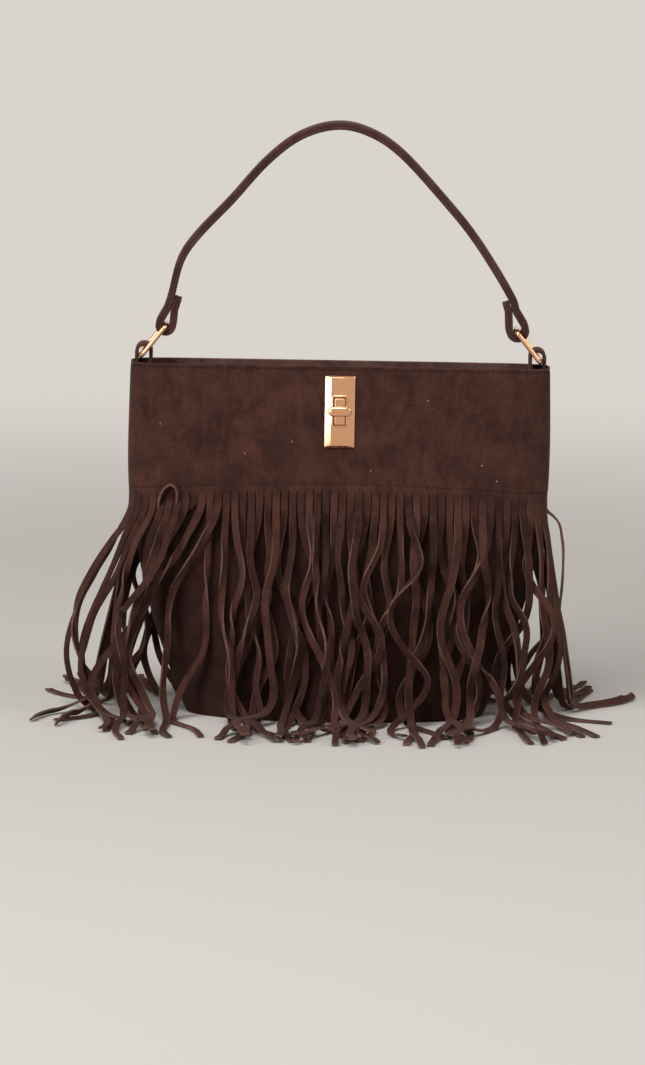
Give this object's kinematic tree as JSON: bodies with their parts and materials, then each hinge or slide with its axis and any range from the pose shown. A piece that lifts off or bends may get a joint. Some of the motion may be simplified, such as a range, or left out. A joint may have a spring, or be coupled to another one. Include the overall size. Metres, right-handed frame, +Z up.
{
  "type": "fringed suede bag",
  "caption": "Flat-topped suede handbag with long fringe strands all round, a strap handle on wire rings and a turn lock.",
  "frame": {"origin": "middle of the base's underside, on the surface that the bag stands on", "axes": "+Z up; the front wall with the lock faces -Y; +X to the right as the front is looked at"},
  "size_m": [0.377, 0.2098, 0.395],
  "materials": {
    "suede": "napped, matte",
    "lining": "twill",
    "board": "plain",
    "brass": "polished plating"
  },
  "bodies": {
    "bag": {"front_panel": "suede", "back_panel": "suede", "base_panel": "suede", "base_board": "board", "lining": "lining", "front_facing": "suede", "back_facing": "suede", "front_fringe_panel": "suede", "back_fringe_panel": "suede", "tab_left": "suede", "tab_right": "suede", "lock_plate": "brass", "lock_back_plate": "brass", "lock_base": "brass", "lock_washer": "brass", "lock_backing": "brass", "closure_tongue": "suede"},
    "toggle": {"lock_toggle": "brass", "lock_clip": "brass"},
    "ring_left": {"ring_left": "brass"},
    "ring_right": {"ring_right": "brass"},
    "handle": {"handle_outer": "suede", "handle_inner": "suede"}
  },
  "joints": [
    {"name": "toggle_turn", "type": "hinge", "parent": "bag", "child": "toggle", "pos_m": [0, -0.02035, 0.206], "axis": [0, 0.9873, -0.1591], "range_deg": [0, 90]},
    {"name": "ring_left_swing", "type": "hinge", "parent": "bag", "child": "ring_left", "pos_m": [-0.13145, 0, 0.2394], "axis": [0, 1, 0], "range_deg": [-15, 15]},
    {"name": "ring_right_swing", "type": "hinge", "parent": "bag", "child": "ring_right", "pos_m": [0.13145, 0, 0.2394], "axis": [0, 1, 0], "range_deg": [-15, 15]},
    {"name": "handle_swing", "type": "hinge", "parent": "ring_left", "child": "handle", "pos_m": [-0.11557, 0, 0.25936], "axis": [0, 1, 0], "range_deg": [-17.2, 17.2]}
  ],
  "couplings": [
    {"joint": "ring_right_swing", "follows": "ring_left_swing", "ratio": 1},
    {"joint": "handle_swing", "follows": "ring_left_swing", "ratio": -1.1374}
  ]
}
